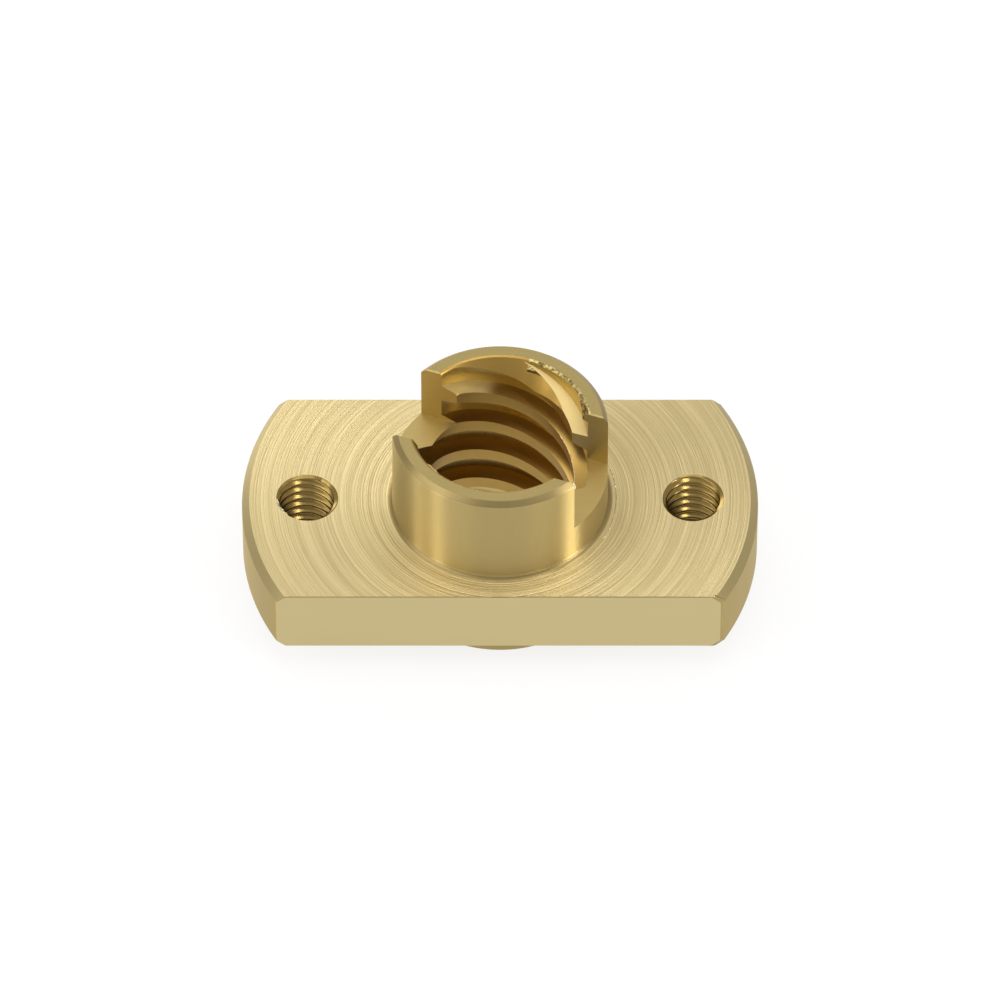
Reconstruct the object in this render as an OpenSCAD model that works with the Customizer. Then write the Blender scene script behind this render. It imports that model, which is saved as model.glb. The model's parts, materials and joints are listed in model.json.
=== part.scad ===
// Lead screw nut: one turned, milled and tapped piece of brass for a trapezoidal lead screw.
// Lengths are in millimetres. The screw axis is Z, the flange is longest along X, and the origin
// is on the axis at the end face of the spigot, where the nut stands.

/* [Flange] */

// Diameter the flange is turned to before its two sides are milled flat
flange_d = 24; // [22.5:0.1:30]
// Distance across the two flats
flange_w = 12.2; // [11:0.1:16]
// Thickness of the flange
flange_t = 3.5; // [2:0.1:6]
// Chamfer on the two turned edges of the flange
flange_edge = 0.35; // [0.1:0.05:0.7]

/* [Boss] */

// Diameter of the boss above the flange
boss_d = 10; // [9.4:0.1:11]
// Height of the boss above the flange
boss_h = 5.2; // [4.2:0.1:8]
// Chamfer round the top of the boss
boss_edge = 0.25; // [0.05:0.05:0.35]
// Radius left by the tool where the boss meets the flange
boss_fillet = 0.3; // [0.1:0.05:0.5]

/* [Spigot] */

// Diameter of the locating spigot under the flange
spigot_d = 10.2; // [9.4:0.1:12]
// Length of the spigot below the flange
spigot_h = 1.5; // [0.8:0.1:4]
// Chamfer round the end of the spigot
spigot_edge = 0.05; // [0.05:0.05:0.35]

/* [Thread for the screw] */

// Axial travel of the screw for one turn
thread_lead = 8; // [4:0.5:12]
// Separate grooves that run side by side
thread_starts = 4; // [1:1:4]
// Diameter at the bottom of the grooves
root_d = 8.2; // [8:0.05:8.6]
// Diameter across the flat crests, which run against the screw
crest_d = 6.9; // [6.4:0.05:7.4]
// Width of a crest as a share of the pitch
crest_share = 0.33; // [0.2:0.01:0.4]
// Slope of each flank
flank_angle = 15; // [5:1:20]
// Turn of the thread about the axis, measured to the middle of a crest at the flange's top face
thread_turn = 49; // [0:1:90]
// Included angle of the countersinks that lead the screw in at both ends
mouth_angle = 60; // [45:5:100]
// How much wider than the grooves the countersinks are at the two end faces
mouth_over = 0.07; // [0.03:0.01:0.2]

/* [Slot across the boss] */

// Width of the slot, which takes the tongue of a spring-loaded second nut
slot_w = 4.2; // [3:0.1:5.5]
// Depth of the slot below the top of the boss
slot_depth = 3.15; // [2:0.05:4]
// How far the middle of the slot lies off the screw axis
slot_shift = -0.15; // [-0.5:0.05:0.5]
// Turn of the slot about the axis, away from the line of the fixing holes
slot_turn = -20; // [-60:1:60]

/* [Fixing holes] */

// Distance between the two fixing holes
hole_spacing = 18; // [17:0.1:19]
// Drilled diameter that the holes are tapped from
hole_d = 2.5; // [2:0.05:3.2]
// Countersink at each end of a fixing hole, measured on the radius
hole_mouth = 0.15; // [0.05:0.05:0.3]

/* [Output] */

// Piece to draw on its own, or all

/* [Hidden] */

brass = [0.78, 0.66, 0.38];

// Heights of the faces up the axis
flange_z = spigot_h;
seat_z = flange_z + flange_t;
top_z = seat_z + boss_h;

// Thread sizes that follow from the driving ones
root_r = root_d / 2;
crest_r = crest_d / 2;
thread_pitch = thread_lead / thread_starts;
tooth_h = root_r - crest_r;
flank_w = tooth_h * tan(flank_angle);
crest_w = thread_pitch * crest_share;
root_w = thread_pitch - crest_w - 2 * flank_w;

// Angles that those widths span on a level cut through the thread
start_a = 360 / thread_starts;
root_a = root_w / thread_pitch * start_a;
slope_a = flank_w / tooth_h / thread_pitch * start_a;

// The groove cutter runs past both ends, in slices of 9 degrees
over = 0.4;
cut_h = top_z + 2 * over;
slice_a = 9;
cut_turn = 360 * cut_h / thread_lead;
cut_slices = ceil(cut_turn / slice_a);
arc_steps = max(4, ceil(root_a / 11));
web_r = crest_r - 0.25;
web_a = root_a + 2 * (root_r - web_r) * slope_a;

// Countersinks at the ends of the bore
mouth_r = root_r + mouth_over;
mouth_h = (mouth_r - crest_r) / tan(mouth_angle / 2);

eps = 0.01;
round_fn = 180;
$fn = round_fn;

nut();

module nut() {
    color(brass)
        difference() {
            body();
            thread();
            mouths();
            slot();
            fixing_holes();
        }
}

// Turned bar, with the two sides of its flange milled flat
module body() {
    intersection() {
        rotate_extrude() flange_profile();
        translate([-flange_d / 2 - 1, -flange_w / 2, flange_z - 1])
            cube([flange_d + 2, flange_w, flange_t + 2]);
    }
    rotate_extrude() boss_profile();
    rotate_extrude() spigot_profile();
}

module flange_profile() {
    r = flange_d / 2;
    polygon([
        [0, flange_z],
        [r - flange_edge, flange_z],
        [r, flange_z + flange_edge],
        [r, seat_z - flange_edge],
        [r - flange_edge, seat_z],
        [0, seat_z]
    ]);
}

module boss_profile() {
    r = boss_d / 2;
    polygon([
        [0, seat_z - flange_t / 2],
        [r, seat_z - flange_t / 2],
        [r, top_z - boss_edge],
        [r - boss_edge, top_z],
        [0, top_z]
    ]);
    // the corner radius at the foot
    difference() {
        translate([r - eps, seat_z - flange_t / 2])
            square([boss_fillet + eps, flange_t / 2 + boss_fillet]);
        translate([r + boss_fillet, seat_z + boss_fillet])
            circle(r = boss_fillet);
    }
}

module spigot_profile() {
    r = spigot_d / 2;
    polygon([
        [0, 0],
        [r - spigot_edge, 0],
        [r, spigot_edge],
        [r, flange_z + flange_t / 2],
        [0, flange_z + flange_t / 2]
    ]);
}

// Plain bore at the crests, and the grooves swept round it: a right-hand thread
module thread() {
    translate([0, 0, -over])
        cylinder(r = crest_r, h = cut_h);
    rotate([0, 0, thread_turn + start_a / 2 - 360 * (seat_z + over) / thread_lead])
        translate([0, 0, -over])
            linear_extrude(height = cut_h, twist = -cut_turn, slices = cut_slices, $fn = 12)
                groove_section();
}

// Level cut through all the grooves
module groove_section() {
    for (k = [0 : thread_starts - 1])
        rotate([0, 0, k * start_a])
            polygon(concat(
                [[0, 0], polar(web_r, -web_a / 2)],
                [for (i = [0 : arc_steps]) polar(root_r, -root_a / 2 + i * root_a / arc_steps)],
                [polar(web_r, web_a / 2)]
            ));
}

function polar(r, a) = [r * cos(a), r * sin(a)];

module mouths() {
    translate([0, 0, top_z - mouth_h])
        cylinder(r1 = crest_r, r2 = mouth_r, h = mouth_h);
    translate([0, 0, top_z - eps])
        cylinder(r = mouth_r, h = 1);
    cylinder(r1 = mouth_r, r2 = crest_r, h = mouth_h);
    translate([0, 0, -1 + eps])
        cylinder(r = mouth_r, h = 1);
}

module slot() {
    rotate([0, 0, slot_turn])
        translate([-boss_d, slot_shift - slot_w / 2, top_z - slot_depth])
            cube([2 * boss_d, slot_w, slot_depth + 1]);
}

module fixing_holes() {
    for (side = [-1, 1])
        translate([side * hole_spacing / 2, 0, 0]) {
            translate([0, 0, flange_z - 1])
                cylinder(d = hole_d, h = flange_t + 2);
            translate([0, 0, seat_z - hole_mouth])
                cylinder(r1 = hole_d / 2, r2 = hole_d / 2 + hole_mouth, h = hole_mouth);
            translate([0, 0, seat_z - eps])
                cylinder(r = hole_d / 2 + hole_mouth, h = 1);
            translate([0, 0, flange_z])
                cylinder(r1 = hole_d / 2 + hole_mouth, r2 = hole_d / 2, h = hole_mouth);
            translate([0, 0, flange_z - 1 + eps])
                cylinder(r = hole_d / 2 + hole_mouth, h = 1);
        }
}
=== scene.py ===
"""Dresses the lead screw nut: the turned and milled brass body with its threads, tool marks and burrs."""

import json
import math

import bmesh
import bpy
from bpy.props import FloatProperty, FloatVectorProperty, IntProperty, PointerProperty
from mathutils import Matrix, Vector


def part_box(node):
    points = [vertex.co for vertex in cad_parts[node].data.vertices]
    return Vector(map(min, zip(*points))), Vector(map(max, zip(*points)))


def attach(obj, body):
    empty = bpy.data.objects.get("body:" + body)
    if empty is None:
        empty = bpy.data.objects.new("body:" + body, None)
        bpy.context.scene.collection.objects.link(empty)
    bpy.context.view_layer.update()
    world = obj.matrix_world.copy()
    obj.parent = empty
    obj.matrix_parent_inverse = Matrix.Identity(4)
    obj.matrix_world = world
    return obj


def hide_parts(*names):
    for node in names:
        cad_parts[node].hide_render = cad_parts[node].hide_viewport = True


bl_info = {
    "name": "Lead Screw Nut",
    "version": (1, 0, 0),
    "blender": (4, 5, 0),
    "location": "3D View > Sidebar > Lead Nut",
    "description": "Makes a flanged and slotted brass lead screw nut with its threads, tool marks and burrs",
    "category": "Add Mesh",
}

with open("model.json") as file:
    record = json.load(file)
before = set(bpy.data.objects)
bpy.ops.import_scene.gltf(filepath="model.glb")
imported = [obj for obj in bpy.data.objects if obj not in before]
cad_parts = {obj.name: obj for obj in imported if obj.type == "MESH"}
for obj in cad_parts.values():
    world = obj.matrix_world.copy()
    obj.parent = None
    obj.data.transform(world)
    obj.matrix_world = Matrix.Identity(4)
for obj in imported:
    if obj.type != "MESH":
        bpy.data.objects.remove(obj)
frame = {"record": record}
MOUNT = {mount["name"]: mount for mount in frame["record"]["mounts"]}
LOW, HIGH = (Vector(corner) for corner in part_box("nut"))
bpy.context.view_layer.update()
MM = 0.001
IN_MM = 1000.0
NEAR = 0.000004
MERGE = 0.0000001
RIM_HALF_ANGLE = math.radians(60)
SMOOTH_UNDER = math.radians(25)
LUMP_SIZE = 0.00012
# How upright the normal of a face has to be, to be flat, a chamfer or a flank
UPRIGHT = 0.99
CHAMFER_LEAST, CHAMFER_MOST = 0.4, 0.9
FLANK_LEAST, FLANK_MOST = 0.9, 0.9999
PIECE = "nut_body"


def length(name, description, default, least=0.0):
    """A length property, shown in the scene's own unit."""
    return FloatProperty(
        name=name,
        description=description,
        default=default,
        min=least,
        precision=5,
        subtype="DISTANCE",
        unit="LENGTH",
    )


def angle(name, description, degrees):
    """An angle property, given in degrees."""
    return FloatProperty(
        name=name,
        description=description,
        default=math.radians(degrees),
        subtype="ANGLE",
        unit="ROTATION",
    )


def colour(name, description, default):
    """A colour property in linear values."""
    return FloatVectorProperty(
        name=name, description=description, default=default, size=3, min=0.0, max=1.0, subtype="COLOR"
    )


class NutSizes(bpy.types.PropertyGroup):
    """What the blank is turned to and what is cut out of it."""

    flange_d: length("Flange", "Diameter of the flange before its flats", 0.024, 0.01)
    flange_w: length("Flats", "Distance across the flange's two flats", HIGH.y - LOW.y, 0.005)
    under_z: length(
        "Spigot length", "Height of the flange's underside", MOUNT["flange_underside"]["pos_m"][2]
    )
    seat_z: length("Seat height", "Height of the flange's top", MOUNT["flange_top"]["pos_m"][2], 0.002)
    top_z: length("Whole height", "Height of the boss's end", HIGH.z, 0.003)
    boss_d: length("Boss", "Diameter of the boss", 2 * MM * MOUNT["spring_boss"]["dims"]["r_mm"], 0.005)
    spigot_d: length(
        "Spigot", "Diameter of the spigot", 2 * MM * MOUNT["locating_spigot"]["dims"]["r_mm"], 0.005
    )
    flange_edge: length("Flange chamfer", "Chamfer on the flange's round rims", 0.00035)
    boss_edge: length("Boss chamfer", "Chamfer round the boss's end", 0.00025)
    boss_soft: length("Boss chamfer's foot", "Rounding where the boss's chamfer meets its wall", 0.00006)
    spigot_edge: length("Spigot chamfer", "Chamfer round the spigot's end", 0.00005)
    boss_fillet: length("Foot fillet", "Radius that the turning tool leaves at the boss's foot", 0.0003)
    flat_edge: length("Flat edge", "Break on the edges of the flats", 0.00004)
    filed_edge: length("Filed edge", "Break on the one upright edge that was filed harder", 0.0001)
    around: IntProperty(name="Facets", description="Facets round the turned blank", default=288, min=48)


class ThreadSizes(bpy.types.PropertyGroup):
    """The four-start lead thread and the fine thread of the fixing holes."""

    crest_r: length(
        "Crest radius", "Radius of the thread's crests", MM * MOUNT["screw_thread"]["dims"]["r_mm"], 0.001
    )
    root_r: length("Root radius", "Radius of the groove's floor", 0.0041, 0.001)
    lead: length("Lead", "Climb of a groove in one turn", 0.008, 0.001)
    starts: IntProperty(name="Starts", description="Grooves side by side", default=4, min=1)
    turn: angle("Thread turn", "Angle of a crest at the height of the flange's top", 49)
    mouth_r: length("Mouth radius", "Radius of the countersinks at the two ends", 0.00417, 0.001)
    mouth_angle: angle("Mouth angle", "Whole angle of the countersinks", 60)
    mouth_lip: length("Mouth lip", "Break on the countersinks' rims", 0.00006)
    torn_from: angle("Torn mouth's end", "Where the torn part of the upper mouth starts", 4)
    torn_sweep: angle("Torn mouth's length", "How far round the mouth it runs", 68)
    torn_width: length("Torn mouth's width", "How far in from the rim it reaches", 0.0003)
    rough_above: length("Rough flanks", "Height over the flange from which the flanks are rough", 0.0033)
    hole_spacing: length(
        "Hole spacing", "Between the fixing holes", MM * MOUNT["fixing_holes"]["dims"]["spacing_x_mm"]
    # Above this height the flanks turn rough and lose their painted shade
    )
    hole_r: length(
        "Hole radius", "Crest radius of the fixing holes", MM * MOUNT["fixing_holes"]["dims"]["hole_r_mm"]
    )
    hole_root_r: length("Hole root radius", "Root radius of the fixing holes", 0.0015, 0.001)
    hole_pitch: length("Hole pitch", "Pitch of the fixing holes' thread", 0.0005, 0.0001)
    hole_mouth: length("Hole mouth", "Radius to which the fixing holes' rims are broken", 0.0014, 0.001)
    left_start: angle("Left hole start", "Angle of the root at the foot of the left hole's thread", 180)
    right_start: angle("Right hole start", "Angle of the root at the foot of the right hole's thread", 90)


class SlotSizes(bpy.types.PropertyGroup):
    """The slot across the boss."""

    width: length("Slot width", "Between the slot's walls", 0.0042, 0.001)
    depth: length("Slot depth", "Down from the boss's end", 0.00315, 0.0005)
    shift: length("Slot shift", "How far the slot lies off the axis", -0.00015, -0.002)
    turn: angle("Slot turn", "From the line of the fixing holes", -20)
    lip: length("Slot lip", "Break on the slot's two long edges", 0.00006)


class BurrSizes(bpy.types.PropertyGroup):
    """The burrs that the tools raised and nobody filed off."""

    crest_wire: length("Crest burr", "Thickness of the burr along a crest's edge", 0.00002)
    crest_from: angle("Crest burr's end", "Where the burr on the crest leaves the slot", -2)
    crest_sweep: angle("Crest burr's length", "How far round the bore it runs", 38)
    foot_wire: length("Foot burr", "Thickness of the burr beside the boss's foot", 0.00003)
    foot_r: length("Foot burr's radius", "From the axis to the burr beside the foot", 0.00542)
    foot_from: angle("Foot burr's end", "Where the burr beside the foot starts", -28)
    foot_sweep: angle("Foot burr's length", "How far round the foot it runs", 46)
    rim_wire: length("Rim burr", "Thickness of the burr on the left hole's rim", 0.00006)
    rim_from: angle("Rim burr's end", "Where the burr on the hole's rim starts", 184)
    rim_sweep: angle("Rim burr's length", "How far round the hole it runs", 46)
    corner: length("Corner burr", "Radius of the burr on the slot's front corner", 0.00013)


class BrassColours(bpy.types.PropertyGroup):
    """The brass as each tool leaves it, but with painted shade in the chamfer, bore and fixing-hole tones and
    a painted highlight in the burrs' tone.
    """

    faced: colour("Faced brass", "The flange's faces", (0.77, 0.635, 0.33))
    end: colour("End brass", "The boss's and the spigot's ends", (0.58, 0.45, 0.18))
    # The two chamfer tones are darker than the walls' tone: painted shade on the chamfers
    edge: colour("Edge brass", "The chamfers on the boss and the spigot", (0.32, 0.24, 0.10))
    rim: colour("Rim brass", "The chamfers on the flange", (0.44, 0.35, 0.16))
    turned: colour("Turned brass", "The boss's and flange's round walls", (0.53, 0.41, 0.17))
    milled: colour("Milled brass", "The flange's flats", (0.59, 0.485, 0.245))
    slotted: colour("Slotted brass", "The slot's floor and walls", (0.52, 0.395, 0.155))
    # Darker and redder than the brass outside: painted shade on the lead thread's crests and countersinks
    # inside the bore
    bored_shaded: colour("Bored brass", "The lead thread's crests", (0.45, 0.29, 0.075))
    # Painted shade: the lower flanks are darker than the brass above them
    flank: colour("Flank brass", "The lead thread's flanks", (0.44, 0.28, 0.075))
    # The flanks near the boss's end are both rough and painted pale, as lit from the open end
    rough: colour("Rough brass", "The lead thread's flanks near the boss's end", (0.60, 0.46, 0.20))
    grooved: colour("Grooved brass", "The lead thread's grooves", (0.64, 0.50, 0.20))
    # Painted shade: darker than the brass outside, because the fixing holes are deep and dim
    tapped: colour("Tapped brass", "The fixing holes' thread", (0.32, 0.22, 0.07))
    torn: colour("Torn brass", "The lead thread's torn mouth", (0.60, 0.48, 0.20))
    # Pale and bright: a painted highlight on the burrs, where they catch the light
    burr: colour("Burr brass", "The burrs", (0.78, 0.68, 0.42))
    floor: colour("Floor", "The floor that the nut stands on", (0.9, 0.9, 0.9))


class StageSizes(bpy.types.PropertyGroup):
    """Camera, lamps and floor."""

    distance: length("Camera distance", "From the camera to the middle of the flange's top", 0.47, 0.1)
    elevation: angle("Camera elevation", "How far the camera looks down", 49)
    view: angle("Camera view", "Whole angle that the camera takes in", 5.662)
    drop: length("Camera drop", "How far below the flange's middle the camera aims", 0.000125)
    floor_size: length("Floor size", "Side of the floor", 1.2, 0.1)
    lamp_far: length("Lamp distance", "From the lamps to the middle of the flange's top", 0.35, 0.1)
    floor_glow: FloatProperty(
        name="Floor glow",
        description="How white the floor looks by itself",
        default=0.8,
        min=0.0,
        max=1.0,
        subtype="FACTOR",
    )
    sky: FloatProperty(
        name="Sky", description="Strength of the even light from all round", default=0.65, min=0.0
    )


def clear_selection():
    """Nothing is being edited or selected."""
    if bpy.context.object and bpy.context.object.mode != "OBJECT":
        bpy.ops.object.mode_set(mode="OBJECT")
    bpy.ops.object.select_all(action="DESELECT")


def take(piece):
    """Only this piece is selected and active."""
    clear_selection()
    piece.select_set(True)
    bpy.context.view_layer.objects.active = piece
    return piece


def settle(piece):
    """The piece keeps its place, but in its mesh, with its object at the origin."""
    take(piece)
    bpy.ops.object.transform_apply(location=True, rotation=True, scale=True)
    return piece


def pick(piece, kind, test):
    """Opens the piece with only those faces, edges or vertices selected that pass the test."""
    if bpy.context.object is not piece or piece.mode != "EDIT":
        take(piece)
        bpy.ops.object.mode_set(mode="EDIT")
    bpy.ops.mesh.select_mode(type=kind)
    bpy.ops.mesh.select_all(action="DESELECT")
    mesh = bmesh.from_edit_mesh(piece.data)
    parts = {"VERT": mesh.verts, "EDGE": mesh.edges, "FACE": mesh.faces}[kind]
    found = [part for part in parts if test(part)]
    for part in found:
        part.select_set(True)
    mesh.select_flush_mode()
    bmesh.update_edit_mesh(piece.data)
    if not found:
        raise RuntimeError(f"{piece.name} has no {kind.lower()} where one is needed")


def points(part):
    """The corners of a face or edge, or the vertex itself."""
    return [corner.co for corner in part.verts] if hasattr(part, "verts") else [part.co]


def at_height(height):
    """A test for what lies flat at that height."""
    return lambda part: all(abs(co.z - height) < NEAR for co in points(part))


def on_rim(height, radius):
    """A test for what lies on a circle round the axis."""
    return lambda part: all(
        abs(co.z - height) < NEAR and abs(math.hypot(co.x, co.y) - radius) < NEAR for co in points(part)
    )


def on_flat(distance):
    """A test for what lies on either flat."""
    return lambda part: all(abs(abs(co.y) - distance) < NEAR for co in points(part)) and len(
        {co.y > 0 for co in points(part)}
    ) == 1


def close_up(piece):
    """Leaves edit mode with doubles merged and normals outwards."""
    pick(piece, "FACE", lambda face: True)
    bpy.ops.mesh.remove_doubles(threshold=MERGE)
    bpy.ops.mesh.normals_make_consistent(inside=False)
    bpy.ops.object.mode_set(mode="OBJECT")


def apply_modifier(piece, kind, **settings):
    """Adds one modifier, sets it and applies it."""
    take(piece)
    bpy.ops.object.modifier_add(type=kind)
    made = piece.modifiers[-1]
    for name, value in settings.items():
        setattr(made, name, value)
    bpy.ops.object.modifier_apply(modifier=made.name)


def combine(piece, other, operation):
    """Works the other shape into the piece and deletes it. The new faces keep the other's finish."""
    apply_modifier(
        piece, "BOOLEAN", operation=operation, solver="MANIFOLD", object=other, material_mode="TRANSFER"
    )
    take(other)
    bpy.ops.object.delete()


def cut_away(piece, cutter):
    """Takes the cutter's shape out of the piece."""
    combine(piece, cutter, "DIFFERENCE")


def join_on(piece, extra):
    """Makes the extra metal one with the piece."""
    combine(piece, extra, "UNION")


def node(tree, kind, values=None, **settings):
    """Adds a node, with its settings, and sets or links the inputs that are named."""
    made = tree.nodes.new(kind)
    for name, value in settings.items():
        setattr(made, name, value)
    for key, value in (values or {}).items():
        if isinstance(value, bpy.types.NodeSocket):
            tree.links.new(value, made.inputs[key])
        else:
            made.inputs[key].default_value = value
    return made


def maths(tree, operation, first, second=0.0):
    """One sum on plain values."""
    return node(tree, "ShaderNodeMath", {0: first, 1: second}, operation=operation).outputs[0]


def noise(tree, vector, scale, detail=2.0, roughness=0.5):
    """Noise from nought to one at so many cells a millimetre."""
    return node(
        tree,
        "ShaderNodeTexNoise",
        {"Vector": vector, "Scale": scale, "Detail": detail, "Roughness": roughness},
        noise_dimensions="3D",
    ).outputs["Fac"]


def blend_colours(tree, share_of_second, first, second):
    """One colour passing into another. Each is a socket or a tone in three parts."""
    values = {0: share_of_second}
    for key, value in ((6, first), (7, second)):
        values[key] = value if isinstance(value, bpy.types.NodeSocket) else (*value, 1.0)
    return node(tree, "ShaderNodeMix", values, data_type="RGBA").outputs[2]


def remap(tree, value, low, high, new_low, new_high):
    """A value moved from one span to another, and held at its ends."""
    return node(
        tree,
        "ShaderNodeMapRange",
        {0: value, 1: low, 2: high, 3: new_low, 4: new_high},
        clamp=True,
    ).outputs[0]


class Finish:
    """A brass surface in the making: its node tree, and where each point lies on the nut, in millimetres."""

    def __init__(self, name):
        self.material = bpy.data.materials.new(name)
        self.material.use_nodes = True
        tree = self.tree = self.material.node_tree
        self.shader = tree.nodes["Principled BSDF"]
        self.shader.inputs["Metallic"].default_value = 1.0
        place = node(tree, "ShaderNodeTexCoord").outputs["Object"]
        self.spot = node(tree, "ShaderNodeVectorMath", {0: place, 3: IN_MM}, operation="SCALE").outputs[0]
        parts = node(tree, "ShaderNodeSeparateXYZ", {0: self.spot})
        self.x, self.y, self.z = parts.outputs[:3]
        flat = node(tree, "ShaderNodeCombineXYZ", {0: self.x, 1: self.y, 2: 0.0}).outputs[0]
        self.radius = node(tree, "ShaderNodeVectorMath", {0: flat}, operation="LENGTH").outputs["Value"]

    def spread_gloss(self, amount):
        """Spreads the gloss across the marks that the tool left round the axis."""
        tree = self.tree
        normal = node(tree, "ShaderNodeNewGeometry").outputs["Normal"]
        back = maths(tree, "MULTIPLY", self.y, -1.0)
        around = node(tree, "ShaderNodeCombineXYZ", {0: back, 1: self.x, 2: 0.0}).outputs[0]
        side = node(tree, "ShaderNodeVectorMath", {0: normal, 1: around}, operation="CROSS_PRODUCT")
        unit = node(tree, "ShaderNodeVectorMath", {0: side.outputs[0]}, operation="NORMALIZE")
        tree.links.new(unit.outputs[0], self.shader.inputs["Tangent"])
        self.shader.inputs["Anisotropic"].default_value = amount

    def marks(self, first, second, third):
        """A place made of three values, for a pattern that is drawn out along some of them."""
        return node(self.tree, "ShaderNodeCombineXYZ", {0: first, 1: second, 2: third}).outputs[0]

    def tap_grain(self):
        """The fine grain that a tap leaves."""
        return noise(self.tree, self.spot, scale=9.0, detail=3.0, roughness=0.65)

    def tap_clouds(self):
        """The slow change of tone along a tapped surface."""
        return noise(self.tree, self.spot, scale=1.2, detail=2.0, roughness=0.5)

    def set_colour(self, dull, bright, pattern):
        """Colour that passes from one to the other with a pattern."""
        self.tree.links.new(
            blend_colours(self.tree, pattern, dull, bright), self.shader.inputs["Base Color"]
        )

    def set_rough(self, pattern, low, high):
        """Roughness that follows a pattern."""
        self.tree.links.new(
            remap(self.tree, pattern, 0.25, 0.75, low, high), self.shader.inputs["Roughness"]
        )

    def set_relief(self, *layers):
        """Heights laid over each other: each is a pattern and its depth in metres."""
        normal = None
        for pattern, depth in layers:
            values = {"Strength": 1.0, "Distance": depth, "Height": pattern}
            if normal:
                values["Normal"] = normal
            normal = node(self.tree, "ShaderNodeBump", values).outputs["Normal"]
        self.tree.links.new(normal, self.shader.inputs["Normal"])


def dim(tone, factor):
    """The same tone, darker and a little redder, as brass is in its own shade."""
    return (tone[0] * factor, tone[1] * factor**1.12, tone[2] * factor**1.35)


def faced_brass(tone):
    """Brass faced on the lathe: rings that lean outwards, closest by the boss, over a fine grain."""
    make = Finish("faced_brass")
    tree = make.tree

    def rings(per_mm, around_mm, detail, roughness):
        """Rings so many a millimetre, which change slowly on their way round."""
        across = maths(tree, "MULTIPLY", make.radius, per_mm)
        along = [maths(tree, "MULTIPLY", part, around_mm) for part in (make.x, make.y)]
        return noise(tree, make.marks(across, *along), scale=1.0, detail=detail, roughness=roughness)

    def from_middle(value):
        """A value from nought to one, counted from its middle."""
        return maths(tree, "SUBTRACT", value, 0.5)

    coarse = rings(per_mm=2.2, around_mm=0.06, detail=1.0, roughness=0.5)
    fine = rings(per_mm=15.0, around_mm=0.05, detail=2.0, roughness=0.6)
    crossing = rings(per_mm=4.0, around_mm=0.06, detail=2.0, roughness=0.5)
    scratch = remap(tree, maths(tree, "ABSOLUTE", from_middle(crossing)), 0.0, 0.07, 1.0, 0.0)
    inner = remap(tree, make.radius, 6.0, 9.5, 1.0, 0.5)
    grain = noise(tree, make.spot, scale=11.0, detail=3.0, roughness=0.7)
    mixed = maths(tree, "ADD", maths(tree, "MULTIPLY", coarse, 0.1), maths(tree, "MULTIPLY", fine, 0.9))
    mixed = maths(tree, "ADD", maths(tree, "MULTIPLY", from_middle(mixed), inner), 0.5)
    unscratched = maths(tree, "SUBTRACT", 1.0, maths(tree, "MULTIPLY", scratch, 0.6))
    pattern = maths(tree, "MULTIPLY", remap(tree, mixed, 0.38, 0.56, 0.0, 1.0), unscratched)
    speckled = maths(tree, "MULTIPLY", pattern, remap(tree, grain, 0.35, 0.6, 0.74, 1.0))
    make.set_colour(dim(tone, 0.72), tone, speckled)
    make.set_rough(grain, low=0.36, high=0.48)
    make.set_relief(
        (make.radius, -0.00006),
        (coarse, 0.000003),
        (maths(tree, "MULTIPLY", from_middle(fine), inner), 0.000018),
        (scratch, -0.000007),
        (grain, 0.000012),
    )
    make.spread_gloss(0.65)
    return make.material


def end_brass(name, tone):
    """Brass that is faced fine, with hardly a mark to see."""
    make = Finish(name)
    tree = make.tree
    across = maths(tree, "MULTIPLY", make.radius, 9.0)
    fine = noise(tree, make.marks(across, make.x, make.y), scale=1.0, detail=2.0, roughness=0.5)
    grain = noise(tree, make.spot, scale=10.0, detail=2.0, roughness=0.6)
    make.set_colour(dim(tone, 0.94), tone, fine)
    make.set_rough(grain, low=0.22, high=0.28)
    make.set_relief((fine, 0.0000005), (grain, 0.0000003))
    return make.material


def turned_brass(name, tone, spread):
    """Brass turned bright on the lathe: the gloss runs across the marks, in faint streaks."""
    make = Finish(name)
    tree = make.tree
    drawn_out = make.marks(make.x, make.y, maths(tree, "MULTIPLY", make.z, 0.12))
    streak = noise(tree, drawn_out, scale=5.0, detail=2.0, roughness=0.5)
    cloud = noise(tree, drawn_out, scale=0.8, detail=1.0, roughness=0.5)
    make.set_colour(dim(tone, 0.94), tone, streak)
    make.set_rough(cloud, low=0.39, high=0.41)
    make.set_relief((streak, 0.0000010))
    make.spread_gloss(spread)
    return make.material


def milled_brass(tone):
    """Brass of the flange's flats: a smooth satin with faint long marks."""
    make = Finish("milled_brass")
    tree = make.tree
    slow_x, quick_z = maths(tree, "MULTIPLY", make.x, 0.3), maths(tree, "MULTIPLY", make.z, 9.0)
    long_marks = noise(tree, make.marks(slow_x, make.y, quick_z), scale=1.0)
    cloud = noise(tree, make.spot, scale=0.35, detail=2.0, roughness=0.5)
    make.set_colour(dim(tone, 0.96), tone, cloud)
    make.set_rough(long_marks, low=0.30, high=0.36)
    make.set_relief((long_marks, 0.0000004))
    return make.material


def slotted_brass(tone, slot_turn):
    """Brass of the slot: marks of the cutter along the slot."""
    make = Finish("slotted_brass")
    tree = make.tree
    along_slot = node(
        tree,
        "ShaderNodeMapping",
        {"Vector": make.spot, "Rotation": (0.0, 0.0, -slot_turn), "Scale": (0.4, 7.0, 7.0)},
    ).outputs[0]
    long_marks = noise(tree, along_slot, scale=1.0, detail=2.0, roughness=0.5)
    grain = noise(tree, make.spot, scale=12.0, detail=2.0, roughness=0.6)
    make.set_colour(dim(tone, 0.92), tone, long_marks)
    make.set_rough(grain, low=0.42, high=0.52)
    make.set_relief((long_marks, 0.0000008), (grain, 0.0000006))
    return make.material


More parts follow.
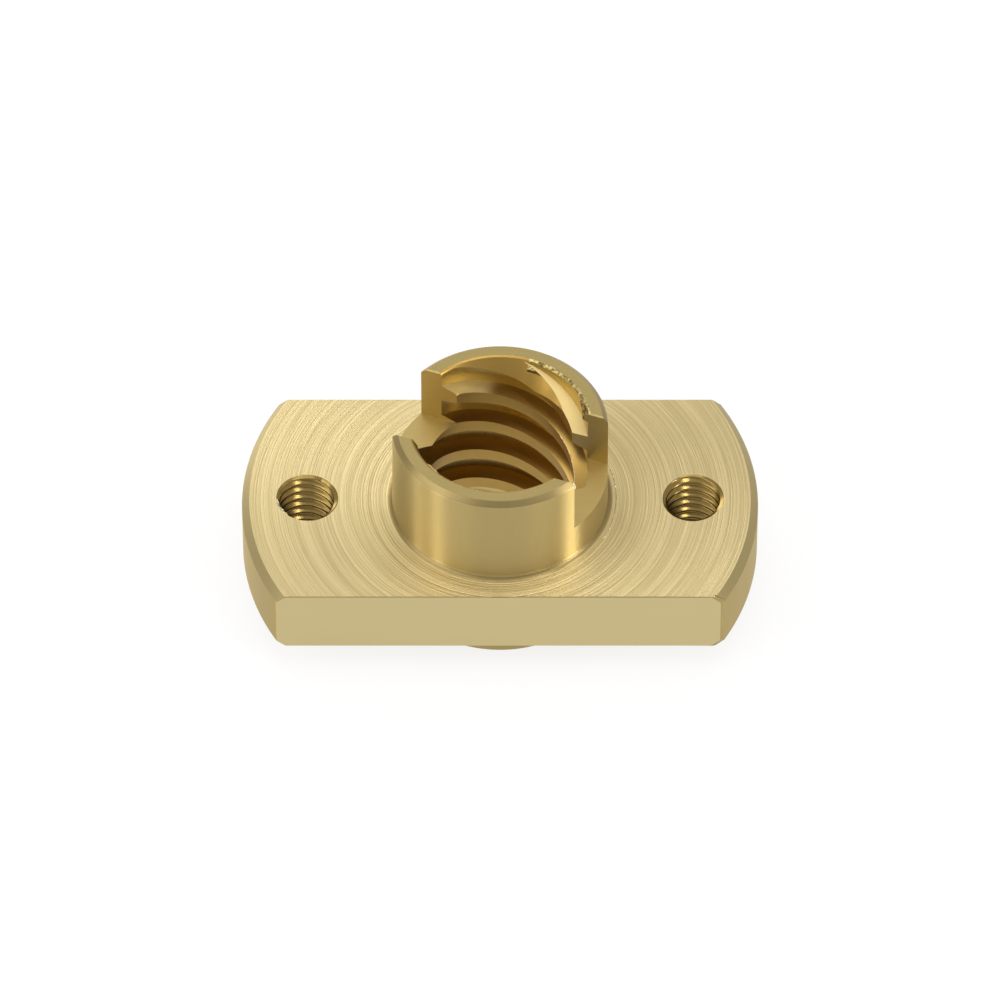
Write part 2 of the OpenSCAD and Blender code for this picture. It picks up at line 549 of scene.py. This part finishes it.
def thread_brass(name, tone, low, high, depth):
    """Brass of a thread as its tap leaves it."""
    make = Finish(name)
    grain = make.tap_grain()
    make.set_colour(dim(tone, 0.88), tone, make.tap_clouds())
    make.set_rough(grain, low, high)
    make.set_relief((grain, depth))
    return make.material


def torn_brass(tone, torn_tone, torn_from):
    """Brass of the upper countersink, with small torn lumps beyond a radius in millimetres, whose hollows are
    painted dark as shade.
    """
    make = Finish("torn_brass")
    tree = make.tree
    grain = make.tap_grain()
    share = remap(tree, make.radius, torn_from, torn_from + 0.05, 0.0, 1.0)
    lumps = maths(tree, "MULTIPLY", noise(tree, make.spot, scale=5.0, detail=3.0, roughness=0.6), share)
    plain = blend_colours(tree, make.tap_clouds(), dim(tone, 0.88), tone)
    # The low parts of the lumps are painted dark: painted shade in their hollows
    lumps_shaded_in_hollows = blend_colours(tree, remap(tree, lumps, 0.40, 0.58, 0.0, 1.0), dim(torn_tone, 0.3), torn_tone)
    make.set_colour(plain, lumps_shaded_in_hollows, share)
    make.set_rough(grain, low=0.26, high=0.36)
    make.set_relief((lumps, 0.00006), (grain, 0.000001))
    return make.material


def flank_brass(tone, rough_lit_tone, rough_from):
    """Brass of the thread's flanks: painted shade makes them dark and glossy low down; above a height in
    millimetres they are dull and painted pale, as lit from the open end.
    """
    make = Finish("flank_brass")
    # Below this height the flanks wear the painted shade of the deep bore; above it they turn rough and pale
    dull = remap(make.tree, make.z, rough_from, rough_from + 0.3, 0.0, 1.0)
    make.set_colour(tone, rough_lit_tone, dull)
    make.set_rough(dull, low=0.30, high=0.50)
    make.set_relief((make.tap_grain(), 0.000001))
    return make.material


def wear_finish(piece, material, test=None):
    """Puts a finish on the whole piece, or on the faces that pass the test."""
    if material.name not in piece.data.materials:
        piece.data.materials.append(material)
    index = piece.data.materials.find(material.name)
    for face in piece.data.polygons:
        if test is None or test(face, piece.data.vertices):
            face.material_index = index


def flat_finish(height):
    """A test for faces that lie flat at that height."""
    return lambda face, spots: abs(face.normal.z) > UPRIGHT and abs(face.center.z - height) < NEAR


def turn_the_blank(sizes):
    """Flange, boss and spigot as the lathe leaves them, with the flange's two flats milled."""
    flange_r, boss_r, spigot_r = sizes.flange_d / 2, sizes.boss_d / 2, sizes.spigot_d / 2
    clear_selection()
    bpy.ops.mesh.primitive_cylinder_add(
        vertices=sizes.around,
        radius=flange_r,
        depth=sizes.seat_z - sizes.under_z,
        end_fill_type="NGON",
        location=(0, 0, (sizes.seat_z + sizes.under_z) / 2),
    )
    nut = settle(bpy.context.object)
    nut.name = nut.data.name = PIECE
    pick(nut, "FACE", at_height(sizes.seat_z))
    bpy.ops.mesh.inset(thickness=flange_r - boss_r)
    bpy.ops.mesh.extrude_region_move(TRANSFORM_OT_translate={"value": (0, 0, sizes.top_z - sizes.seat_z)})
    pick(nut, "FACE", lambda face: at_height(sizes.under_z)(face) and face.normal.z < 0)
    bpy.ops.mesh.inset(thickness=flange_r - spigot_r)
    bpy.ops.mesh.extrude_region_move(TRANSFORM_OT_translate={"value": (0, 0, -sizes.under_z)})
    for height, radius, size, steps in (
        (sizes.seat_z, flange_r, sizes.flange_edge, 1),
        (sizes.under_z, flange_r, sizes.flange_edge, 1),
        (sizes.top_z, boss_r, sizes.boss_edge, 1),
        (sizes.top_z - sizes.boss_edge, boss_r, sizes.boss_soft, 3),
        (0.0, spigot_r, sizes.spigot_edge, 1),
        (sizes.seat_z, boss_r, sizes.boss_fillet, 7),
    ):
        pick(nut, "EDGE", on_rim(height, radius))
        bpy.ops.mesh.bevel(offset=size, segments=steps, affect="EDGES", clamp_overlap=False)
    for side in (1, -1):
        pick(nut, "FACE", lambda face: True)
        bpy.ops.mesh.bisect(
            plane_co=(0, side * sizes.flange_w / 2, 0),
            plane_no=(0, side, 0),
            use_fill=True,
            clear_outer=True,
            threshold=MERGE,
        )
    pick(
        nut,
        "EDGE",
        lambda edge: on_flat(sizes.flange_w / 2)(edge)
        and min(co.x for co in points(edge)) > 0 > min(co.y for co in points(edge))
        and abs(points(edge)[0].z - points(edge)[1].z) > NEAR,
    )
    bpy.ops.mesh.bevel(offset=sizes.filed_edge, segments=1, affect="EDGES", clamp_overlap=False)
    pick(nut, "EDGE", on_flat(sizes.flange_w / 2))
    bpy.ops.mesh.bevel(offset=sizes.flat_edge, segments=1, affect="EDGES", clamp_overlap=False)
    close_up(nut)
    return nut


def twisted_core(name, spot, low, high, lead, around, rows_a_turn, radius_at):
    """The shape that a threading tool takes out: a ring with lobes that climbs and turns with its lead."""
    clear_selection()
    bpy.ops.mesh.primitive_circle_add(
        vertices=around, radius=1.0, fill_type="NOTHING", location=(spot[0], spot[1], low)
    )
    core = bpy.context.object
    core.name = core.data.name = name
    groups = {}
    for corner in core.data.vertices:
        around_axis = math.atan2(corner.co.y, corner.co.x)
        groups.setdefault(round(radius_at(around_axis), 9), set()).add(corner.index)
    for radius, members in groups.items():
        pick(core, "VERT", lambda corner, members=members: corner.index in members)
        bpy.ops.transform.resize(value=(radius, radius, 1.0), center_override=(spot[0], spot[1], low))
    turns = (high - low) / lead
    apply_modifier(
        core,
        "SCREW",
        axis="Z",
        angle=math.tau * turns,
        screw_offset=high - low,
        steps=math.ceil(turns * rows_a_turn),
        render_steps=math.ceil(turns * rows_a_turn),
        use_merge_vertices=False,
    )
    settle(core)
    bpy.ops.object.mode_set(mode="EDIT")
    bpy.ops.mesh.select_mode(type="EDGE")
    bpy.ops.mesh.select_all(action="SELECT")
    bpy.ops.mesh.fill_holes(sides=0)
    close_up(core)
    return core


def lead_core(sizes, thread):
    """The core of the lead thread: crests between straight flanks, and roots."""
    # Of the steps from one crest to the next, twice the land are crest and one flank lies at each side of it
    land, flank, whole = 10, 5, 60
    past = 0.0004
    low, high = -past, sizes.top_z + past
    step = math.tau / (whole * thread.starts)
    start = thread.turn + math.tau * (low - sizes.seat_z) / thread.lead
    # The ring is made with its corners on whole steps, and turned on by the rest
    phase = start % step

    def radius_at(turn):
        place = round((turn + phase - start) / step) % whole
        away = min(place, whole - place)
        rise = min(max((away - land) / flank, 0.0), 1.0)
        return thread.crest_r + rise * (thread.root_r - thread.crest_r)

    core = twisted_core(
        "lead_core",
        (0.0, 0.0),
        low,
        high,
        thread.lead,
        around=whole * thread.starts,
        rows_a_turn=72,
        radius_at=radius_at,
    )
    take(core)
    bpy.ops.object.mode_set(mode="EDIT")
    bpy.ops.mesh.select_all(action="SELECT")
    bpy.ops.transform.rotate(value=-phase, orient_axis="Z", center_override=(0, 0, 0))
    bpy.ops.object.mode_set(mode="OBJECT")
    return core


def hole_core(sizes, thread, x, start):
    """The core of one fixing hole's fine thread, with its crests and roots rounded over."""
    past = 0.0002
    middle = (thread.hole_r + thread.hole_root_r) / 2
    swing = (thread.hole_root_r - thread.hole_r) / 2
    return twisted_core(
        "hole_core",
        (x, 0.0),
        sizes.under_z - past,
        sizes.seat_z + past,
        thread.hole_pitch,
        around=48,
        rows_a_turn=40,
        radius_at=lambda turn: middle + swing * math.cos(turn - start),
    )


def ragged(piece, radius):
    """Pushes the skin of a burr in and out unevenly, by up to four fifths of its own radius."""
    swing = 1.6 * radius
    lumps = bpy.data.textures.new(piece.name + "_lumps", "CLOUDS")
    lumps.noise_scale = LUMP_SIZE
    apply_modifier(
        piece, "DISPLACE", texture=lumps, texture_coords="LOCAL", strength=swing, mid_level=0.5
    )


def burr(name, finish, middle, radius, height, start, sweep, climb, wire):
    """A torn wire of metal that runs round an axis and may climb."""
    clear_selection()
    bpy.ops.mesh.primitive_circle_add(
        vertices=8,
        radius=wire,
        fill_type="NOTHING",
        location=(radius, 0, height),
        rotation=(math.pi / 2, 0, 0),
    )
    made = settle(bpy.context.object)
    made.name = made.data.name = name
    steps = math.ceil(sweep * radius / wire)
    apply_modifier(
        made,
        "SCREW",
        axis="Z",
        angle=sweep,
        screw_offset=climb,
        steps=steps,
        render_steps=steps,
        use_merge_vertices=False,
    )
    made.rotation_euler.z = start
    made.location.x = middle
    settle(made)
    bpy.ops.object.mode_set(mode="EDIT")
    bpy.ops.mesh.select_all(action="SELECT")
    bpy.ops.mesh.fill_holes(sides=0)
    close_up(made)
    ragged(made, wire)
    wear_finish(made, finish)
    return made


def mouth_cone(name, spot, height, mouth_r, half_angle, least_r, up):
    """A countersink: widest a little outside the face that it opens."""
    spare = 0.0002
    wide = mouth_r + spare * math.tan(half_angle)
    deep = (wide - least_r) / math.tan(half_angle)
    clear_selection()
    bpy.ops.mesh.primitive_cone_add(
        vertices=192,
        radius1=least_r if up else wide,
        radius2=wide if up else least_r,
        depth=deep,
        end_fill_type="NGON",
        location=(spot[0], spot[1], height + (spare - deep / 2) * (1 if up else -1)),
    )
    cone = settle(bpy.context.object)
    cone.name = cone.data.name = name
    return cone


class NUT_OT_turn_blank(bpy.types.Operator):
    """Turn the flange, boss and spigot, and mill the flange's two flats"""

    bl_idname = "lead_nut.turn_blank"
    bl_label = "Turned Blank"

    def execute(self, context):
        scene = context.scene
        sizes, tones = scene.nut_sizes, scene.brass_colours
        nut = turn_the_blank(sizes)
        wear_finish(nut, turned_brass("turned_brass", tones.turned, 1.0))
        # Darker tones on the chamfers: painted shade
        for name, tone, inside in (("edge_brass", tones.edge, True), ("rim_brass", tones.rim, False)):
            wear_finish(
                nut,
                turned_brass(name, tone, 0.5),
                lambda face, spots, inside=inside: CHAMFER_LEAST < abs(face.normal.z) < CHAMFER_MOST
                and (face.center.xy.length < sizes.flange_w / 2 - NEAR) == inside,
            )
        wear_finish(
            nut,
            milled_brass(tones.milled),
            lambda face, spots: abs(face.center.y) > sizes.flange_w / 2 - NEAR,
        )
        faced, end = faced_brass(tones.faced), end_brass("end_brass", tones.end)
        for height in (sizes.seat_z, sizes.under_z):
            wear_finish(nut, faced, flat_finish(height))
        for height in (sizes.top_z, 0.0):
            wear_finish(nut, end, flat_finish(height))
        return {"FINISHED"}


class NUT_OT_cut_lead_thread(bpy.types.Operator):
    """Cut the four-start lead thread and the countersinks at its two ends"""

    bl_idname = "lead_nut.cut_lead_thread"
    bl_label = "Lead Thread"

    def execute(self, context):
        scene = context.scene
        sizes, thread, tones = scene.nut_sizes, scene.thread_sizes, scene.brass_colours
        nut = bpy.data.objects[PIECE]
        # The crest and flank tones are painted darker than the brass outside, as shade inside the bore
        bored_shaded = thread_brass("bored_brass", tones.bored_shaded, low=0.34, high=0.42, depth=0.0000008)
        grooved = thread_brass("grooved_brass", tones.grooved, low=0.26, high=0.34, depth=0.0000006)
        flank = flank_brass(tones.flank, tones.rough, IN_MM * (sizes.seat_z + thread.rough_above))
        torn = torn_brass(tones.bored_shaded, tones.torn, IN_MM * (thread.mouth_r - thread.torn_width))
        past_crest, past_mouth = 0.0003, 0.0004
        for height, up in ((sizes.top_z, True), (0.0, False)):
            for radius, half, least_r in (
                (thread.mouth_r, thread.mouth_angle / 2, thread.crest_r - past_crest),
                (thread.mouth_r + thread.mouth_lip, RIM_HALF_ANGLE, thread.mouth_r - past_mouth),
            ):
                cone = mouth_cone("mouth", (0.0, 0.0), height, radius, half, least_r, up)
                wear_finish(cone, bored_shaded)
                if up:
                    wear_finish(
                        cone,
                        torn,
                        lambda face, spots: thread.torn_from
                        < math.atan2(face.center.y, face.center.x)
                        < thread.torn_from + thread.torn_sweep,
                    )
                cut_away(nut, cone)
        core = lead_core(sizes, thread)
        wear_finish(core, bored_shaded)
        wear_finish(core, flank, lambda face, spots: FLANK_LEAST < abs(face.normal.z) < FLANK_MOST)
        off_crest = thread.crest_r + 0.00001
        wear_finish(
            core,
            grooved,
            lambda face, spots: abs(face.normal.z) < FLANK_LEAST
            and any(math.hypot(spots[i].co.x, spots[i].co.y) > off_crest for i in face.vertices),
        )
        cut_away(nut, core)
        return {"FINISHED"}


class NUT_OT_mill_slot(bpy.types.Operator):
    """Mill the slot across the boss"""

    bl_idname = "lead_nut.mill_slot"
    bl_label = "Slot"

    def execute(self, context):
        scene = context.scene
        sizes, slot = scene.nut_sizes, scene.slot_sizes
        spare = 0.001
        middle, rise = (0, slot.shift, sizes.top_z), slot.lip + spare
        clear_selection()
        bpy.ops.mesh.primitive_cube_add(
            size=1.0,
            location=(0, slot.shift, sizes.top_z - (slot.depth + slot.lip) / 2),
            scale=(sizes.boss_d + 2 * spare, slot.width, slot.depth - slot.lip),
        )
        cutter = settle(context.object)
        pick(cutter, "FACE", at_height(sizes.top_z - slot.lip))
        bpy.ops.mesh.extrude_region_move(TRANSFORM_OT_translate={"value": (0, 0, rise)})
        bpy.ops.transform.resize(value=(1, 1 + 2 * rise / slot.width, 1), center_override=middle)
        bpy.ops.object.mode_set(mode="OBJECT")
        cutter.rotation_euler.z = slot.turn
        settle(cutter)
        wear_finish(cutter, slotted_brass(scene.brass_colours.slotted, slot.turn))
        cut_away(bpy.data.objects[PIECE], cutter)
        return {"FINISHED"}


class NUT_OT_tap_fixing_holes(bpy.types.Operator):
    """Drill, countersink and tap the two fixing holes"""

    bl_idname = "lead_nut.tap_fixing_holes"
    bl_label = "Fixing Holes"

    def execute(self, context):
        scene = context.scene
        sizes, thread = scene.nut_sizes, scene.thread_sizes
        nut = bpy.data.objects[PIECE]
        # The fixing holes' tone is painted dark, as shade inside the holes
        tone = scene.brass_colours.tapped
        tapped = thread_brass("tapped_brass", tone, low=0.20, high=0.26, depth=0.0000004)
        past_crest = 0.0002
        least_r = thread.hole_r - past_crest
        for side, start in ((-1, thread.left_start), (1, thread.right_start)):
            x = side * thread.hole_spacing / 2
            for height, up in ((sizes.seat_z, True), (sizes.under_z, False)):
                cone = mouth_cone(
                    "hole_mouth", (x, 0.0), height, thread.hole_mouth, RIM_HALF_ANGLE, least_r, up
                )
                wear_finish(cone, tapped)
                cut_away(nut, cone)
            core = hole_core(sizes, thread, x, start)
            wear_finish(core, tapped)
            cut_away(nut, core)
        return {"FINISHED"}


class NUT_OT_leave_burrs(bpy.types.Operator):
    """Leave the burrs that the tap and the cutters raised"""

    bl_idname = "lead_nut.leave_burrs"
    bl_label = "Burrs"

    def execute(self, context):
        scene = context.scene
        sizes, thread, slot, burrs = scene.nut_sizes, scene.thread_sizes, scene.slot_sizes, scene.burr_sizes
        # The burrs wear a pale tone that paints their glints: a painted highlight
        nut, glinting_burr_brass = bpy.data.objects[PIECE], end_brass("burr_brass", scene.brass_colours.burr)
        pitch = thread.lead / thread.starts
        # The upper edge of the first crest above the flange: half a crest over the crest's middle
        half_crest = 0.16
        crest_z = sizes.seat_z + thread.lead * (burrs.crest_from - thread.turn) / math.tau
        crest_z += pitch * (1 + half_crest)
        rim_in, corner_down, corner_drawn = 2.4 * burrs.rim_wire, 3 * burrs.corner, 1.6
        corner = slot.turn - math.asin((slot.width / 2 - slot.shift) / (sizes.boss_d / 2))
        for name, middle, radius, height, start, sweep, climb, wire in (
            (
                "crest_burr",
                0.0,
                thread.crest_r,
                crest_z,
                burrs.crest_from,
                burrs.crest_sweep,
                thread.lead * burrs.crest_sweep / math.tau,
                burrs.crest_wire,
            ),
            (
                "foot_burr",
                0.0,
                burrs.foot_r,
                sizes.seat_z,
                burrs.foot_from,
                burrs.foot_sweep,
                0.0,
                burrs.foot_wire,
            ),
            (
                "rim_burr",
                -thread.hole_spacing / 2,
                thread.hole_root_r - rim_in,
                sizes.seat_z - burrs.rim_wire,
                burrs.rim_from,
                burrs.rim_sweep,
                0.0,
                burrs.rim_wire,
            ),
        ):
            join_on(nut, burr(name, glinting_burr_brass, middle, radius, height, start, sweep, climb, wire))
        reach = sizes.boss_d / 2 - burrs.corner
        clear_selection()
        bpy.ops.mesh.primitive_ico_sphere_add(
            subdivisions=4,
            radius=burrs.corner,
            location=(reach * math.cos(corner), reach * math.sin(corner), sizes.top_z - corner_down),
            scale=(1, 1, corner_drawn),
        )
        lump = settle(context.object)
        lump.name = lump.data.name = "corner_burr"
        ragged(lump, burrs.corner)
        wear_finish(lump, glinting_burr_brass)
        join_on(nut, lump)
        return {"FINISHED"}


class NUT_OT_finish_body(bpy.types.Operator):
    """Clean and shade the nut and let it stand for its solid"""

    bl_idname = "lead_nut.finish_body"
    bl_label = "Finished Body"

    def execute(self, context):
        nut = bpy.data.objects[PIECE]
        close_up(nut)
        take(nut)
        bpy.ops.object.shade_smooth_by_angle(angle=SMOOTH_UNDER)
        apply_modifier(nut, "WEIGHTED_NORMAL", keep_sharp=True, weight=50)
        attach(nut, "root")
        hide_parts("nut")
        return {"FINISHED"}


def seen_as_white(tree, plain, strength):
    """Swaps a plain shader for even light where the camera or a reflection looks at it."""
    path = node(tree, "ShaderNodeLightPath").outputs
    seen = maths(tree, "MAXIMUM", path["Is Camera Ray"], path["Is Glossy Ray"])
    seen = maths(tree, "MAXIMUM", seen, path["Is Transmission Ray"])
    glow = node(tree, "ShaderNodeEmission", {"Color": (1.0, 1.0, 1.0, 1.0), "Strength": 1.0}).outputs[0]
    return node(
        tree, "ShaderNodeMixShader", {0: maths(tree, "MULTIPLY", seen, strength), 1: plain, 2: glow}
    ).outputs[0]


def lay_floor(stage, tone):
    """A pale floor that takes the nut's shadow."""
    clear_selection()
    bpy.ops.mesh.primitive_plane_add(size=stage.floor_size, location=(0, 0, 0))
    floor = settle(bpy.context.object)
    floor.name = floor.data.name = "floor"
    paint = bpy.data.materials.new("floor_paint")
    paint.use_nodes = True
    tree = paint.node_tree
    plain = tree.nodes["Principled BSDF"]
    plain.inputs["Base Color"].default_value = (*tone, 1.0)
    plain.inputs["Roughness"].default_value = 0.9
    seen = seen_as_white(tree, plain.outputs[0], stage.floor_glow)
    tree.links.new(seen, tree.nodes["Material Output"].inputs["Surface"])
    wear_finish(floor, paint)


def light_studio(stage, middle):
    """Even light from all round, and soft lamps that each show as a band or a patch in the brass."""
    studio = bpy.data.worlds.new("studio")
    bpy.context.scene.world = studio
    studio.use_nodes = True
    sky = studio.node_tree.nodes["Background"]
    sky.inputs["Color"].default_value = (1.0, 1.0, 1.0, 1.0)
    sky.inputs["Strength"].default_value = stage.sky
    for name, turn, rise, width, height, shine in (
        ("right_strip_lamp", 68, 12, 0.07, 0.24, 8.4),
        ("right_back_lamp", 120, 62, 0.16, 0.16, 1.2),
        ("left_front_strip_lamp", -58, 12, 0.06, 0.24, 3.2),
        ("left_strip_lamp", -80, 12, 0.05, 0.24, 2.2),
        ("left_front_high_lamp", -45, 38, 0.16, 0.16, 1.4),
        ("left_lamp", -75, 38, 0.16, 0.16, 1.8),
        ("left_back_lamp", -150, 12, 0.16, 0.16, 2.8),
        ("left_back_high_lamp", -150, 38, 0.16, 0.16, 1.3),
        ("back_lamp", 180, 12, 0.16, 0.16, 2.0),
        ("overhead_lamp", 0, 88, 0.20, 0.20, 2.2),
        ("spark_lamp", 50, 58, 0.05, 0.05, 12.0),
    ):
        turn, rise = math.radians(turn), math.radians(rise)
        way = Vector((math.sin(turn) * math.cos(rise), -math.cos(turn) * math.cos(rise), math.sin(rise)))
        bpy.ops.object.light_add(type="AREA", location=middle + way * stage.lamp_far)
        lamp = bpy.context.object
        lamp.name = lamp.data.name = name
        lamp.rotation_euler = way.to_track_quat("Z", "Y").to_euler()
        lamp.data.shape = "RECTANGLE"
        lamp.data.size, lamp.data.size_y = width, height
        lamp.data.energy = shine * math.pi * width * height


def aim_camera(stage, middle):
    """A camera that looks down at the nut from the front."""
    rise = stage.elevation
    way = Vector((0, -math.cos(rise), math.sin(rise)))
    up = Vector((0, math.sin(rise), math.cos(rise)))
    bpy.ops.object.camera_add(location=middle + way * stage.distance - up * stage.drop)
    camera = bpy.context.object
    camera.name = camera.data.name = "camera"
    camera.rotation_euler = way.to_track_quat("Z", "Y").to_euler()
    camera.data.angle = stage.view
    camera.data.clip_start = 0.01
    camera.data.clip_end = 10.0
    bpy.context.scene.camera = camera


class NUT_OT_set_stage(bpy.types.Operator):
    """Set the floor, the soft lamps and the camera"""

    bl_idname = "lead_nut.set_stage"
    bl_label = "Stage"

    def execute(self, context):
        scene = context.scene
        stage = scene.stage_sizes
        middle = Vector((0, 0, scene.nut_sizes.seat_z))
        lay_floor(stage, scene.brass_colours.floor)
        light_studio(stage, middle)
        aim_camera(stage, middle)
        scene.view_settings.view_transform = "Standard"
        return {"FINISHED"}


GROUPS = {
    "nut_sizes": NutSizes,
    "thread_sizes": ThreadSizes,
    "slot_sizes": SlotSizes,
    "burr_sizes": BurrSizes,
    "brass_colours": BrassColours,
    "stage_sizes": StageSizes,
}
STEPS = (
    NUT_OT_turn_blank,
    NUT_OT_cut_lead_thread,
    NUT_OT_mill_slot,
    NUT_OT_tap_fixing_holes,
    NUT_OT_leave_burrs,
    NUT_OT_finish_body,
    NUT_OT_set_stage,
)


class NUT_PT_panel(bpy.types.Panel):
    """The nut's sizes, colours and steps"""

    bl_idname = "NUT_PT_panel"
    bl_label = "Lead Screw Nut"
    bl_space_type = "VIEW_3D"
    bl_region_type = "UI"
    bl_category = "Lead Nut"

    def draw(self, context):
        layout = self.layout
        for name in GROUPS:
            box = layout.box()
            group = getattr(context.scene, name)
            for key in group.bl_rna.properties.keys():
                if key not in ("rna_type", "name"):
                    box.prop(group, key)
        for step in STEPS:
            layout.operator(step.bl_idname)


CLASSES = (*GROUPS.values(), *STEPS, NUT_PT_panel)


def register():
    """Adds the groups, the steps and the panel to Blender."""
    for made in CLASSES:
        bpy.utils.register_class(made)
    for name, group in GROUPS.items():
        setattr(bpy.types.Scene, name, PointerProperty(type=group))


def unregister():
    """Takes them out again."""
    for name in GROUPS:
        delattr(bpy.types.Scene, name)
    for made in reversed(CLASSES):
        bpy.utils.unregister_class(made)


def main():
    """Makes the whole nut and its stage."""
    register()
    bpy.ops.lead_nut.turn_blank()
    bpy.ops.lead_nut.cut_lead_thread()
    bpy.ops.lead_nut.mill_slot()
    bpy.ops.lead_nut.tap_fixing_holes()
    bpy.ops.lead_nut.leave_burrs()
    bpy.ops.lead_nut.finish_body()
    bpy.ops.lead_nut.set_stage()


if __name__ == "__main__":
    main()
